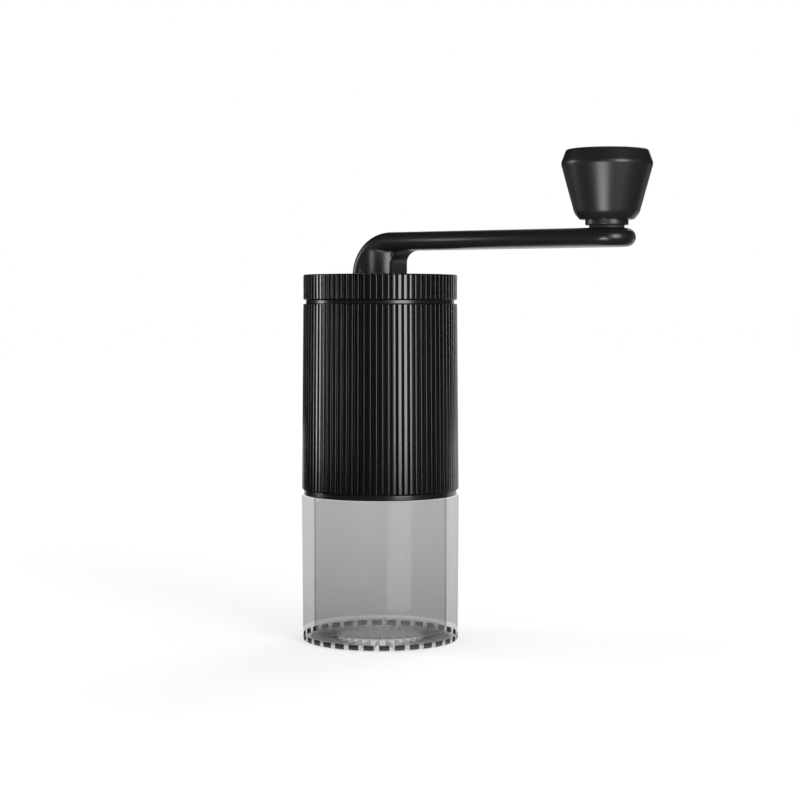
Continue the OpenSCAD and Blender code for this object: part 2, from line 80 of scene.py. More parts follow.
# %% Place the camera
scene = bpy.context.scene
CAMERA_TURN = math.radians(31)
CAMERA_DISTANCE = 640 * MM
CAMERA_HEIGHT = 109.65 * MM
CAMERA_DOWN = math.radians(2.72)
CAMERA_ASIDE = math.radians(0.582)


def around(turn, distance, height):
    """A point at that distance from the grinding axis. A turn of 0 is on the -Y side."""
    return Vector((math.sin(turn) * distance, -math.cos(turn) * distance, height))


camera_data = bpy.data.cameras.new("camera")
camera_data.lens = 87.2
camera_data.clip_start = 0.02
camera = bpy.data.objects.new("camera", camera_data)
camera.location = around(CAMERA_TURN, CAMERA_DISTANCE, CAMERA_HEIGHT)
camera.rotation_euler = (math.pi / 2 - CAMERA_DOWN, 0, CAMERA_TURN - CAMERA_ASIDE)
scene.collection.objects.link(camera)
scene.camera = camera
print("camera at", [round(v, 3) for v in camera.location])

# %% [markdown]
# ## Turned shapes
#
# Most pieces of a grinder are turned on a lathe, and a turner breaks every sharp
# edge. So an outline is written as corners, and each is softened by the radius
# asked for. A bevel modifier could do it later, but it cannot give each corner its
# own radius. A modelled soft edge catches a line of light, which a sharp one never
# does.

# %% Soft corners
def softened(corners, steps=4):
    """Corners are (r, z, soft). Each corner with a soft radius becomes a small curve."""
    points = []
    count = len(corners)
    for i, (r, z, soft) in enumerate(corners):
        here = Vector((r, z))
        before = Vector(corners[i - 1][:2]) - here
        after = Vector(corners[(i + 1) % count][:2]) - here
        if soft <= 0:
            points.append(here)
            continue
        start = here + before.normalized() * min(soft, before.length * 0.48)
        end = here + after.normalized() * min(soft, after.length * 0.48)
        for k in range(steps + 1):
            t = k / steps
            points.append(start * (1 - t) ** 2 + here * 2 * t * (1 - t) + end * t * t)
    return points


square = softened([(0, 0, 1), (10, 0, 1), (10, 10, 1), (0, 10, 1)])
print("a square with soft corners has", len(square), "points")

# %% [markdown]
# Every piece ends the same way. Double points go, the faces are turned outwards,
# the shape goes from millimetres to metres, and it is shaded smooth except where
# two faces meet at a hard edge. Weighted normals keep the flat parts flat in the
# light.

# %% From a bmesh to a shown piece
def finished(name, bm, sharp=math.radians(40)):
    """Turns a bmesh in millimetres into a shown object in metres, with only hard edges sharp."""
    bmesh.ops.remove_doubles(bm, verts=bm.verts, dist=1e-5)
    bmesh.ops.recalc_face_normals(bm, faces=bm.faces)
    bmesh.ops.scale(bm, vec=(MM, MM, MM), verts=bm.verts)
    mesh = bpy.data.meshes.new(name)
    bm.to_mesh(mesh)
    bm.free()
    mesh.shade_smooth()
    mesh.set_sharp_from_angle(angle=sharp)
    piece = bpy.data.objects.new(name, mesh)
    scene.collection.objects.link(piece)
    weights = piece.modifiers.new("even_normals", "WEIGHTED_NORMAL")
    weights.keep_sharp = True
    print(f"{name}: {len(mesh.polygons)} faces")
    return piece


print("edges sharper than 40 degrees stay hard")

# %% [markdown]
# A lathe spins an outline round an axis, and so does this helper: it sets a ring of points for
# each point of the outline and joins the rings with a skin. The screw modifier would do it too,
# but rings that are made one by one can also follow ribs and notches, which the barrel and the
# jar need.

# %% Skin and lathe
def skin(bm, rings, closed=True):
    """Joins rings of vertices, each to the next, and the last to the first if closed."""
    following = rings[1:] + rings[:1] if closed else rings[1:]
    for low, high in zip(rings, following):
        for i in range(len(low)):
            j = (i + 1) % len(low)
            bm.faces.new([low[i], low[j], high[j], high[i]])


def lathe(name, corners, x=0.0, segments=160):
    """Spins an outline of (r, z, soft) corners, in millimetres, round the line at that x."""
    bm = bmesh.new()
    rings = []
    for r, z in softened(corners):
        turns = [2 * math.pi * i / segments for i in range(segments)]
        rings.append([bm.verts.new((x + r * math.cos(a), r * math.sin(a), z)) for a in turns])
    skin(bm, rings)
    return finished(name, bm)


print("lathe ready: 160 steps make", round(360 / 160, 2), "degrees each")

# %% [markdown]
# ## Shader expressions
#
# A finish is easier to read as arithmetic than as a list of links. `Value` wraps
# one shader socket and overloads the operators, so `0.3 + grain * 0.1` adds the
# two Math nodes by itself.

# %% Values
class Value:
    """One output of a node. Arithmetic on it adds Math nodes to the same tree."""

    def __init__(self, kit, socket):
        self.kit = kit
        self.socket = socket

    def math(self, operation, *others):
        inputs = dict(enumerate((self, *others)))
        return self.kit.node("ShaderNodeMath", {"operation": operation}, inputs)

    def __add__(self, other):
        return self.math("ADD", other)

    __radd__ = __add__

    def __mul__(self, other):
        return self.math("MULTIPLY", other)

    __rmul__ = __mul__

    def __sub__(self, other):
        return self.math("SUBTRACT", other)

    def __rsub__(self, other):
        return (self * -1.0).math("ADD", other)

    def __pow__(self, other):
        return self.math("POWER", other)

    def clamped(self):
        return self.kit.node("ShaderNodeClamp", {}, {"Value": self})

    def between(self, low, high):
        """0 below low, 1 above high and a smooth climb from one to the other."""
        setting = {"interpolation_type": "SMOOTHSTEP"}
        inputs = {"Value": self, "From Min": low, "From Max": high}
        return self.kit.node("ShaderNodeMapRange", setting, inputs)


print("a Value knows", [name for name in vars(Value) if not name.startswith("__")])

# %% [markdown]
# All nodes come from one method. It takes the node's type, then its settings, then
# what goes into its sockets, which may be numbers or other values. The world has
# a tree too, so the method stands in a class of its own.

# %% One method for every node
class Tree:
    """A node tree that grows through one method."""

    def __init__(self, tree):
        self.tree = tree

    def node(self, kind, settings=None, inputs=None, output=0):
        """Adds a node: its settings first, then its inputs, and wraps one output."""
        made = self.tree.nodes.new(kind)
        for key, value in (settings or {}).items():
            setattr(made, key, value)
        for key, value in (inputs or {}).items():
            if isinstance(value, Value):
                self.tree.links.new(value.socket, made.inputs[key])
            else:
                made.inputs[key].default_value = value
        return Value(self, made.outputs[output])


def grey(level):
    return (level, level, level, 1.0)


print("mid grey:", grey(0.5))

# %% [markdown]
# A finish needs the same few things each time: the place of a point on its piece,
# noise of a given size, a blend of two colours, a bump, and the edges that hands
# rub. `Kit` holds them with the Principled shader of one material. Noise by place
# needs no unwrapping, so it suits pieces that are turned.

# %% A kit for one material
class Kit(Tree):
    """The node tree of one material, with its Principled shader."""

    def __init__(self, name, **constants):
        self.material = bpy.data.materials.new(name)
        self.material.use_nodes = True
        super().__init__(self.material.node_tree)
        self.shader = self.tree.nodes["Principled BSDF"]
        self.output = self.tree.nodes["Material Output"]
        for label, value in constants.items():
            self.shader.inputs[label.replace("_", " ")].default_value = value

    def feed(self, label, value):
        self.tree.links.new(value.socket, self.shader.inputs[label])

    def place(self):
        """Where a point is on its own piece, in metres."""
        return self.node("ShaderNodeTexCoord", output="Object")

    def noise(self, size, detail=3.0, rough=0.5, stretch=(1, 1, 1)):
        """Noise from 0 to 1 whose lumps are that many metres across."""
        spot = self.node("ShaderNodeVectorMath", {"operation": "MULTIPLY"},
                         {0: self.place(), 1: stretch})
        inputs = {"Vector": spot, "Scale": 1 / size, "Detail": detail, "Roughness": rough}
        return self.node("ShaderNodeTexNoise", {}, inputs)

    def blend(self, factor, low, high):
        """A colour between two colours."""
        settings = {"data_type": "RGBA"}
        return self.node("ShaderNodeMix", settings, {0: factor, 6: low, 7: high}, output=2)

    def bump(self, value, strength, depth):
        inputs = {"Height": value, "Strength": strength, "Distance": depth}
        self.feed("Normal", self.node("ShaderNodeBump", {}, inputs))

    def edge(self):
        """1 on worn convex edges, 0 elsewhere."""
        point = self.node("ShaderNodeNewGeometry", output="Pointiness")
        return point.between(0.52, 0.62)


print("a Kit knows", [name for name in vars(Kit) if not name.startswith("__")])

# %% [markdown]
# ## Black anodised aluminium
#
# The sleeve and the lid are extruded aluminium, blasted and anodised black. The
# layer is even, a little cloudy where it was handled, and polished lighter along
# the tops of the ribs. Metal this dark still behaves like a glossy dark paint, so
# the shader is not metallic and its gloss comes from the coat of oxide.

# %% Anodised finish
CLOUD = 0.012
RUBBED_PATCH = 0.004


def black_finish(name, level, gloss, grain, grain_depth, wear):
    """A satin black: cloudy in tone and gloss, with a fine grain and lighter edges."""
    kit = Kit(name, Metallic=0.0, IOR=1.5)
    cloudy = kit.noise(CLOUD)
    fine = kit.noise(grain, detail=2.0)
    rubbed = kit.edge() * kit.noise(RUBBED_PATCH).between(0.45, 0.7) * wear
    tone = kit.blend(cloudy, grey(level * 0.85), grey(level * 1.15))
    kit.feed("Base Color", kit.blend(rubbed, tone, grey(level * 5)))
    kit.feed("Roughness", (gloss + (cloudy - 0.5) * 0.03 - rubbed * 0.03).clamped())
    kit.bump(fine, 0.1, grain_depth)
    return kit.material


anodised = black_finish("black_anodised", 0.006, 0.17, 0.0003, 0.0000015, wear=0.12)
print("finish:", anodised.name)

# %% [markdown]
# The other black pieces take the same recipe with other numbers. The crank arm is
# cast and powder coated, the knob and the collar are moulded, and the parts inside
# are a plain dark polymer. A coarser grain and a rougher gloss tell them apart.

# %% Coated and moulded blacks
coated = black_finish("black_coating", 0.009, 0.32, 0.0005, 0.000006, wear=0.1)
moulded = black_finish("black_moulded", 0.011, 0.36, 0.0005, 0.000006, wear=0.1)
collar_finish = black_finish("black_collar", 0.012, 0.25, 0.0006, 0.000006, wear=0.15)
print("finishes:", coated.name, moulded.name, collar_finish.name)

# %% [markdown]
# ## The ribbed sleeve and lid
#
# Eighty straight ribs run round the barrel and carry on over the lid. Each rib has
# a slightly domed top with rounded shoulders above a narrow groove, and the domes
# catch the thin lines of light on a dark barrel. A bump map cannot do that at the
# outline, so each ring of the mesh follows the ribs.

# %% Rib section
RIBS = 80
RIB_DEPTH = 0.6
# Across half a pitch from the middle of a rib: how far along, and how deep
HALF_RIB = ((0.0, 0.0), (0.14, 0.004), (0.24, 0.02), (0.29, 0.055), (0.33, 0.13),
            (0.36, 0.27), (0.39, 0.5), (0.44, 0.8), (0.48, 0.96), (0.5, 1.0))
RIB_SECTION = [(-t, d) for t, d in reversed(HALF_RIB[1:-1])] + list(HALF_RIB)


def ribbed(name, rows):
    """A closed skin through rows of (r, z, rib), where rib is 1 for full ribs and 0 for none."""
    bm = bmesh.new()
    rings = []
    for r, z, rib in rows:
        ring = []
        for i in range(RIBS):
            for along, deep in RIB_SECTION:
                a = 2 * math.pi * (i + along) / RIBS
                reach = r - deep * rib * RIB_DEPTH
                ring.append(bm.verts.new((reach * math.cos(a), reach * math.sin(a), z)))
        rings.append(ring)
    skin(bm, rings)
    return finished(name, bm, sharp=math.radians(55))


print("a ring of ribs has", RIBS * len(RIB_SECTION), "points")

# %% [markdown]
# The sleeve is the casing that the hand holds. It is extruded with its ribs and then
# turned to a slight taper, and at both ends the ribs run out over a small chamfer.
# Its heights come from the CAD piece that it replaces.

# %% Sleeve
def levels(node):
    """The lowest and highest z of a CAD node, in millimetres."""
    low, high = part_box(node)
    return low.z / MM, high.z / MM


sleeve_low, sleeve_high = levels("body_sleeve")
SLEEVE_FOOT_R, SLEEVE_TOP_R, SLEEVE_BORE_R = 25.95, 25.37, 24.16
sleeve = ribbed("ribbed_sleeve", [
    (SLEEVE_FOOT_R - 0.65, sleeve_low, 0.0),
    (SLEEVE_FOOT_R - 0.45, sleeve_low + 0.02, 0.35),
    (SLEEVE_FOOT_R - 0.08, sleeve_low + 0.3, 0.9),
    (SLEEVE_FOOT_R, sleeve_low + 0.5, 1.0),
    ((SLEEVE_FOOT_R + SLEEVE_TOP_R) / 2, (sleeve_low + sleeve_high) / 2, 1.0),
    (SLEEVE_TOP_R, sleeve_high - 0.35, 1.0),
    (SLEEVE_TOP_R - 0.06, sleeve_high - 0.15, 0.95),
    (SLEEVE_TOP_R - 0.25, sleeve_high - 0.02, 0.6),
    (SLEEVE_TOP_R - 0.6, sleeve_high, 0.05),
    (SLEEVE_BORE_R, sleeve_high, 0.0),
    (SLEEVE_BORE_R, sleeve_low, 0.0),
])
sleeve.data.materials.append(anodised)
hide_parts("body_sleeve")
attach(sleeve, "barrel")

# %% [markdown]
# The lid is one turned and ribbed cap. Its top is dished inside a narrow border,
# a boss below it holds the bush in which the crank turns, and a skirt with a
# groove for the seal reaches into the chamber.

# %% Lid
skirt_low, lid_high = levels("lid")
lid_low = levels("chamber_tube")[1]
LID_R = 25.34
SKIRT_R, SKIRT_IN_R = 22.2, 20.6
BOSS_R, BUSH_R = 9.85, 7.9
BOSS_LOW = lid_low + 0.5
DISH = 0.6
SEAL_LOW = lid_low - 3.3
lid = ribbed("ribbed_lid", [
    (LID_R - 0.7, lid_low, 0.0),
    (LID_R - 0.45, lid_low + 0.02, 0.4),
    (LID_R - 0.08, lid_low + 0.2, 0.9),
    (LID_R, lid_low + 0.35, 1.0),
    (LID_R, lid_high - 0.5, 1.0),
    (LID_R - 0.07, lid_high - 0.25, 0.97),
    (LID_R - 0.25, lid_high - 0.07, 0.75),
    (LID_R - 0.5, lid_high, 0.35),
    (LID_R - 0.9, lid_high, 0.0),
    (23.0, lid_high, 0.0),
    (22.75, lid_high - 0.08, 0.0),
    (22.6, lid_high - 0.3, 0.0),
    (22.3, lid_high - DISH + 0.06, 0.0),
    (21.9, lid_high - DISH, 0.0),
    (21.5, lid_high - DISH, 0.0),
    (BUSH_R + 0.6, lid_high - DISH, 0.0),
    (BUSH_R + 0.2, lid_high - DISH, 0.0),
    (BUSH_R, lid_high - DISH - 0.2, 0.0),
    (BUSH_R, BOSS_LOW, 0.0),
    (BOSS_R - 0.3, BOSS_LOW, 0.0),
    (BOSS_R, BOSS_LOW + 0.3, 0.0),
    (BOSS_R, lid_high - 2.2, 0.0),
    (SKIRT_IN_R, lid_high - 2.2, 0.0),
    (SKIRT_IN_R, skirt_low + 0.3, 0.0),
    (SKIRT_IN_R + 0.3, skirt_low, 0.0),
    (SKIRT_R - 0.4, skirt_low, 0.0),
    (SKIRT_R, skirt_low + 0.4, 0.0),
    (SKIRT_R, SEAL_LOW, 0.0),
    (SKIRT_R - 0.7, SEAL_LOW, 0.0),
    (SKIRT_R - 0.7, SEAL_LOW + 1.5, 0.0),
    (SKIRT_R, SEAL_LOW + 1.5, 0.0),
    (SKIRT_R, lid_low, 0.0),
])
lid.data.materials.append(anodised)
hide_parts("lid")
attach(lid, "lid")

# %% [markdown]
# ## Collar
#
# Between the ribs and the jar shows the lip of the burr housing, a smooth black
# ring set back from the ribs. It is turned, with a socket for the jar below and a
# seat for the ring burr above, and the step back makes the dark joint line.

# %% Collar
collar_low, housing_high = levels("burr_housing")
COLLAR_R = 25.23
SOCKET_R = 23.15
HOUSING_R = 24.12
BURR_SEAT_R, WAY_R, LIGHT_R = 19.02, 17.9, 22.3
LEDGE_LOW = collar_low + 7.4
HOUSING_STEP = sleeve_low + 10
collar = lathe("burr_collar", [
    (SOCKET_R, collar_low, 0.3),
    (COLLAR_R, collar_low, 0.25),
    (COLLAR_R, sleeve_low, 0.2),
    (HOUSING_R, sleeve_low, 0),
    (HOUSING_R, HOUSING_STEP, 0.2),
    (LIGHT_R, HOUSING_STEP, 0),
    (LIGHT_R, housing_high, 0.2),
    (BURR_SEAT_R, housing_high, 0),
    (BURR_SEAT_R, LEDGE_LOW + 2, 0),
    (WAY_R, LEDGE_LOW + 2, 0.2),
    (WAY_R, LEDGE_LOW, 0.2),
    (SOCKET_R, LEDGE_LOW, 0.3),
], segments=240)
collar.data.materials.append(collar_finish)
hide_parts("burr_housing")
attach(collar, "barrel")

# %% [markdown]
# The beans fall into an inner tube, and its rim stands out of the sleeve as the
# smooth ring below the lid. A turned tube with a thicker rim is all it needs.

# %% Chamber tube
tube_low, rim_high = levels("chamber_tube")
RIM_R, TUBE_R, TUBE_IN_R = 24.44, 24.1, 22.33
tube = lathe("chamber_wall", [
    (TUBE_IN_R, tube_low, 0.2),
    (TUBE_R, tube_low, 0.2),
    (TUBE_R, sleeve_high, 0),
    (RIM_R, sleeve_high, 0.15),
    (RIM_R, rim_high, 0.25),
    (TUBE_IN_R, rim_high, 0.3),
], segments=240)
tube.data.materials.append(collar_finish)
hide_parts("chamber_tube")
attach(tube, "barrel")

# %% [markdown]
# ## Crank arm
#
# The arm is one casting: a flat bar with rounded sides that bends down into a
# round hub. The bar is made first, by carrying its section along a path of
# stations. Each station has its own upward direction, so that the bar keeps its
# thickness round the bend.

# %% Bent bar
ARM_W, ARM_T = 18.0, 5.75
HUB_R, HUB_FLAT = 8.95, 7.2
BEND_X, BEND_R = 7.5, 8.2
arm_top = levels("crank_arm")[1]
arm_low = arm_top - ARM_T
hub_low = arm_low - BEND_R
knob_x = (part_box("knob")[0].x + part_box("knob")[1].x) / 2 / MM


def arm_section(steps=10):
    """Across the arm and up: a bar with fully rounded sides, as a ring of points."""
    side, half = (ARM_W - ARM_T) / 2, ARM_T / 2
    ring = []
    for sign, start in ((1, -90), (-1, 90)):
        for k in range(steps + 1):
            a = math.radians(start + 180 * k / steps)
            ring.append((sign * side + half * math.cos(a), half * math.sin(a)))
    return ring


def arm_path():
    """Stations along the arm from the foot of the bend: centre and upward normal."""
    mid = BEND_R + ARM_T / 2
    bend_steps, straight_steps = 16, 12
    stations = []
    for k in range(bend_steps + 1):
        a = math.radians(180 - 90 * k / bend_steps)
        out = Vector((math.cos(a), 0, math.sin(a)))
        stations.append((Vector((BEND_X, 0, hub_low)) + out * mid, out))
    for k in range(1, straight_steps + 1):
        x = BEND_X + (knob_x - BEND_X) * k / straight_steps
        stations.append((Vector((x, 0, arm_low + ARM_T / 2)), Vector((0, 0, 1))))
    return stations


def capped(bm, rings):
    skin(bm, rings, closed=False)
    bm.faces.new(rings[0][::-1])
    bm.faces.new(rings[-1])


def swept_bar(bm):
    rings = []
    for centre, up in arm_path():
        ring = [bm.verts.new(centre + Vector((0, y, 0)) + up * h) for y, h in arm_section()]
        rings.append(ring)
    capped(bm, rings)


print("bar:", len(arm_path()), "stations of", len(arm_section()), "points")

# %% [markdown]
# The hub is a round post below the bend, cut flat on the side towards the knob, and
# it must not come out of the bend's outer skin. A boolean cut would do that, but it
# is simpler to move each point of a turned post to the nearest place allowed.

# %% Hub
def turned_solid(bm, profile, x, segments=96, keep=None):
    rings = []
    for r, z in profile:
        ring = []
        for i in range(segments):
            a = 2 * math.pi * i / segments
            spot = Vector((x + r * math.cos(a), r * math.sin(a), z))
            ring.append(bm.verts.new(keep(spot) if keep else spot))
        rings.append(ring)
    capped(bm, rings)


def under_bend(spot):
    """Keeps the hub inside the bend's outer skin and behind its flat."""
    spot.x = min(spot.x, HUB_FLAT)
    away = Vector((spot.x - BEND_X, 0, spot.z - hub_low))
    limit = BEND_R + ARM_T * 0.6
    if away.length > limit:
        away = away.normalized() * limit
        spot.x, spot.z = BEND_X + away.x, hub_low + away.z
    return spot


def hub(bm):
    profile = [(HUB_R, hub_low + step * 0.5) for step in range(23)]
    turned_solid(bm, profile, 0, keep=under_bend)


print("the hub's flat stands", HUB_FLAT, "mm from the axis")

# %% [markdown]
# A casting has no sharp inner corner, so a small block with a hollow curve fills the
# corner between the hub's flat and the arm. At the far end, below the knob, the
# bar's own section is turned round the knob's axis and gives the full round end.

# %% Corner and round end
def fillet_block(bm, radius=4.5, steps=10):
    """Fills the corner between the hub's flat and the arm with a hollow curve."""
    half = math.sqrt(HUB_R ** 2 - HUB_FLAT ** 2) - 0.1
    curve = [(HUB_FLAT - 2, arm_low + ARM_T / 2), (HUB_FLAT - 2, arm_low - radius)]
    for k in range(steps + 1):
        a = math.radians(180 - 90 * k / steps)
        curve.append((HUB_FLAT + radius + radius * math.cos(a),
                      arm_low - radius + radius * math.sin(a)))
    curve.append((HUB_FLAT + radius, arm_low + ARM_T / 2))
    rings = [[bm.verts.new((x, y, z)) for x, z in curve] for y in (-half, half)]
    capped(bm, rings)


def rounded_end(steps=10):
    """Half outline of the arm's section, turned below the knob to give the round end."""
    side, half = (ARM_W - ARM_T) / 2, ARM_T / 2
    mid = arm_low + half
    curve = [(0.01, arm_low)]
    for k in range(steps + 1):
        a = math.radians(-90 + 180 * k / steps)
        curve.append((side + half * math.cos(a), mid + half * math.sin(a)))
    return curve + [(0.01, arm_top)]


def round_end(bm):
    turned_solid(bm, rounded_end(), knob_x)


print("the round end's outline has", len(rounded_end()), "points")

# %% [markdown]
# The four solids become one. A boolean union joins them, a voxel remesh lays one
# even skin over the result, and a little smoothing lets the parts flow into each
# other as metal does in a mould. Bevels at the joins would be sharper, but they
# fail where round shapes meet at a slant.

# %% Joined crank arm
parts = []
for build in (swept_bar, round_end, hub, fillet_block):
    bm = bmesh.new()
    build(bm)
    bmesh.ops.recalc_face_normals(bm, faces=bm.faces)
    mesh = bpy.data.meshes.new("arm_part")
    bm.to_mesh(mesh)
    bm.free()
    part = bpy.data.objects.new("arm_part", mesh)
    scene.collection.objects.link(part)
    parts.append(part)


def applied(piece):
    """The piece's mesh with its modifiers worked in."""
    view = bpy.context.evaluated_depsgraph_get()
    mesh = bpy.data.meshes.new_from_object(piece.evaluated_get(view))
    piece.modifiers.clear()
    piece.data = mesh
    return mesh


arm = parts[0]
for other in parts[1:]:
    join = arm.modifiers.new("join", "BOOLEAN")
    join.operation = "UNION"
    join.solver = "EXACT"
    join.object = other
VOXEL, RELAX_STEPS = 0.3, 9
remesh = arm.modifiers.new("even_skin", "REMESH")
remesh.mode = "VOXEL"
remesh.voxel_size = VOXEL
relax = arm.modifiers.new("relax", "SMOOTH")
relax.factor = 0.5
relax.iterations = RELAX_STEPS
mesh = applied(arm)
for other in parts[1:]:
    bpy.data.objects.remove(other)
arm.name = mesh.name = "crank_arm_casting"
for vertex in mesh.vertices:
    vertex.co *= MM
mesh.shade_smooth()
mesh.materials.clear()
mesh.materials.append(coated)
print("arm:", len(mesh.polygons), "faces")
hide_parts("crank_arm")
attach(arm, "crank")

# %% [markdown]
# The spigot below the hub turns in the lid's bush and has a groove for the clip
# that holds the crank in the lid. It only shows when the lid is off.

# %% Crank spigot
spigot_low = levels("crank_arm")[0]
clip_low, clip_high = (z + gap for z, gap in zip(levels("crank_clip"), (-0.02, 0.02)))
SPIGOT_R, SPIGOT_BORE_R, CLIP_GROOVE_R = 6.5, 4.57, 5.7
spigot = lathe("crank_spigot", [
    (SPIGOT_BORE_R, spigot_low, 0.2),
    (SPIGOT_R, spigot_low, 0.4),
    (SPIGOT_R, clip_low, 0),
    (CLIP_GROOVE_R, clip_low, 0),
    (CLIP_GROOVE_R, clip_high, 0),
    (SPIGOT_R, clip_high, 0),
    (SPIGOT_R, hub_low + 0.5, 0),
    (SPIGOT_BORE_R, hub_low + 0.5, 0),
])
spigot.data.materials.append(coated)
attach(spigot, "crank")

# %% [markdown]
# ## Knob
#
# The knob is a reversed cone with a chamfered head, turned in one piece. It stands
# on a short neck above a washer, and the gap under the neck reads as a black line.
# The hole through it holds the bush that runs on the pin.

# %% Knob
knob_low, knob_high = levels("knob")
KNOB_R, KNOB_TOP_R, KNOB_FOOT_R, KNOB_NECK_R = 14.2, 12.6, 10.0, 6.65
CAP_R, CAP_T = 6.8, 1.5
BUSH_SEAT_R, SCREW_HOLE_R = 4.02, 5.2
CAP_HOLE_R = CAP_R + 0.08
knob = lathe("crank_knob", [
    (BUSH_SEAT_R, knob_low, 0.1),
    (KNOB_NECK_R, knob_low, 0.25),
    (KNOB_NECK_R, knob_low + 1.7, 0.15),
    (KNOB_FOOT_R - 1.6, knob_low + 1.7, 0.3),
    (KNOB_FOOT_R, knob_low + 3.6, 0.7),
    (KNOB_R, knob_high - 4.3, 0.7),
    (KNOB_TOP_R, knob_high, 0.7),
    (CAP_HOLE_R, knob_high, 0.25),
    (CAP_HOLE_R, knob_high - CAP_T, 0),
    (SCREW_HOLE_R, knob_high - CAP_T, 0),
    (SCREW_HOLE_R, knob_low + 15, 0),
    (BUSH_SEAT_R, knob_low + 15, 0),
], x=knob_x, segments=192)
knob.data.materials.append(moulded)
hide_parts("knob")
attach(knob, "knob")

# %% [markdown]
# A small round cap is pressed into the top of the knob and hides the end of the
# pin. From above, the fine ring of its joint is all that shows.

# %% Knob cap
cap = lathe("crank_knob_cap", [
    (0.0, knob_high - CAP_T, 0),
    (CAP_R, knob_high - CAP_T, 0.1),
    (CAP_R, knob_high - 0.02, 0.3),
    (0.0, knob_high - 0.02, 0),
], x=knob_x, segments=128)
cap.data.materials.append(moulded)
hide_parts("knob_cap")
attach(cap, "knob")

# %% [markdown]
# ## Grounds jar
#
# The jar is a thick clear plastic cup with a smoky tint, moulded in one shot. Its
# wall has a plain outline, so it is written as corners like the turned pieces: up
# the outside, over the neck with its groove for the seal, and down the inside.

# %% Jar wall
jar_low, neck_high = levels("grounds_jar")
JAR_R, JAR_FOOT_R, JAR_IN_R, NECK_R = 26.0, 25.66, 21.87, 23.07
JAR_FLOOR, SHOULDER = 3.0, collar_low
SEAL_GROOVE_LOW, SEAL_GROOVE_HIGH = neck_high - 3.2, neck_high - 1.6
SEAL_GROOVE_R = NECK_R - 0.6
wall = softened([
    (JAR_FOOT_R, 2.6, 0),
    (JAR_FOOT_R + 0.02, 4.5, 0),
    (JAR_R, SHOULDER, 0.8),
    (NECK_R, SHOULDER, 0.2),
    (NECK_R, SEAL_GROOVE_LOW, 0),
    (SEAL_GROOVE_R, SEAL_GROOVE_LOW, 0),
    (SEAL_GROOVE_R, SEAL_GROOVE_HIGH, 0),
    (NECK_R, SEAL_GROOVE_HIGH, 0),
    (NECK_R, neck_high, 0.3),
    (JAR_IN_R, neck_high, 0.3),
    (JAR_IN_R, JAR_FLOOR, 1.5),
    (0.0, JAR_FLOOR, 0),
])
print("jar wall:", len(wall), "points, up to", round(neck_high, 2), "mm")

# %% [markdown]
# The foot is notched all round, so that the jar does not slide, and the notches run
# inwards to a plain disc. The outline of the foot changes with the angle: columns
# of points are set side by side, with a notch worth 1 and a block worth 0.

# %% Notched foot and jar
NOTCHES, NOTCH_H, DISC_R = 32, 1.75, 14.6
# One pitch of the foot: how far along it, and how much of a notch is there
NOTCH_STEPS = ((0.0, 0.0), (0.12, 0.0), (0.24, 0.0), (0.33, 0.0), (0.345, 0.1), (0.36, 0.9),
               (0.375, 1.0), (0.5, 1.0), (0.625, 1.0), (0.64, 0.9), (0.655, 0.1), (0.67, 0.0),
               (0.76, 0.0), (0.88, 0.0))


def foot_profile(notch):
    """Under the foot and round its edge, from the axis outwards, as (r, z)."""
    lift = notch * NOTCH_H
    points = [(0.0, 0.0), (DISC_R - 0.3, 0.0), (DISC_R, lift * 0.25), (DISC_R + 0.2, lift)]
    points += [(JAR_FOOT_R - 4.0, lift), (JAR_FOOT_R - 0.45, lift)]
    points += [(JAR_FOOT_R - 0.12, lift + 0.12), (JAR_FOOT_R, lift + 0.45)]
    return points


bm = bmesh.new()
columns = []
for i in range(NOTCHES):
    for along, notch in NOTCH_STEPS:
        turn = 2 * math.pi * (i + along) / NOTCHES
        across, along_y = math.cos(turn), math.sin(turn)
        points = foot_profile(notch) + [tuple(p) for p in wall]
        columns.append([bm.verts.new((r * across, r * along_y, z)) for r, z in points])
for here, there in zip(columns, columns[1:] + columns[:1]):
    for k in range(len(here) - 1):
        bm.faces.new([here[k], there[k], there[k + 1], here[k + 1]])
jar = finished("clear_jar", bm, sharp=math.radians(35))
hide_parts("grounds_jar")
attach(jar, "jar")

# %% [markdown]
# ## Clear plastic
#
# The finish has to know which part of the jar a point is on. The distance from the
# axis tells the outer wall from the inside, the height tells the foot from the
# wall, the normal tells floors from walls, and the angle gives the place within
# one pitch of the notches.

# %% Where a point is on the jar
class JarKit(Kit):
    """A material that knows the parts of the jar."""

    def zones(self):
        x, y, self.z = (self.part(self.place(), axis) for axis in "XYZ")
        self.reach = (x * x + y * y) ** 0.5
        self.inner = 1 - self.reach.between(0.0228, 0.0236)
        upright = self.part(self.node("ShaderNodeNewGeometry", output="Normal"), "Z")
        self.flat = (upright * upright).between(0.3, 0.7)
        pitch = y.math("ARCTAN2", x) * (NOTCHES / (2 * math.pi)) + NOTCHES
        self.off_block = (pitch.math("FRACT") - 0.5).math("ABSOLUTE")

    def part(self, vector, axis):
        return self.node("ShaderNodeSeparateXYZ", {}, {0: vector}, output=axis)


print("a JarKit knows", [name for name in vars(JarKit) if not name.startswith("__")])

# %% [markdown]
# Three marks are painted on the foot. The faces between the notches are painted nearly dark in
# the outer wall, like small windows, which is painted shade. The floor inside is painted as a
# pale disc, which is painted light, and on a ring of it lie short radial dashes of painted shade
# above the notch walls below. All three come from the zones above.

# %% Marks of the foot
def painted_window_shade(kit):
    """The faces between the notches, as windows of painted shade round the edge of the foot."""
    # Painted shade: these faces of the foot are made nearly opaque and dark.
    rows = kit.z.between(0.0001, 0.0003) * (1 - kit.z.between(0.0017, 0.0021))
    return kit.off_block.between(0.15, 0.18) * rows * (1 - kit.inner)


def painted_floor_light(kit):
    """The upper face of the jar's floor, which takes a pale disc of painted light."""
    # Painted light: the floor is painted pale in place of the bright floor seen through it.
    level = kit.z.between(0.0025, 0.0028) * (1 - kit.z.between(0.005, 0.006))
    return kit.flat * kit.inner * level


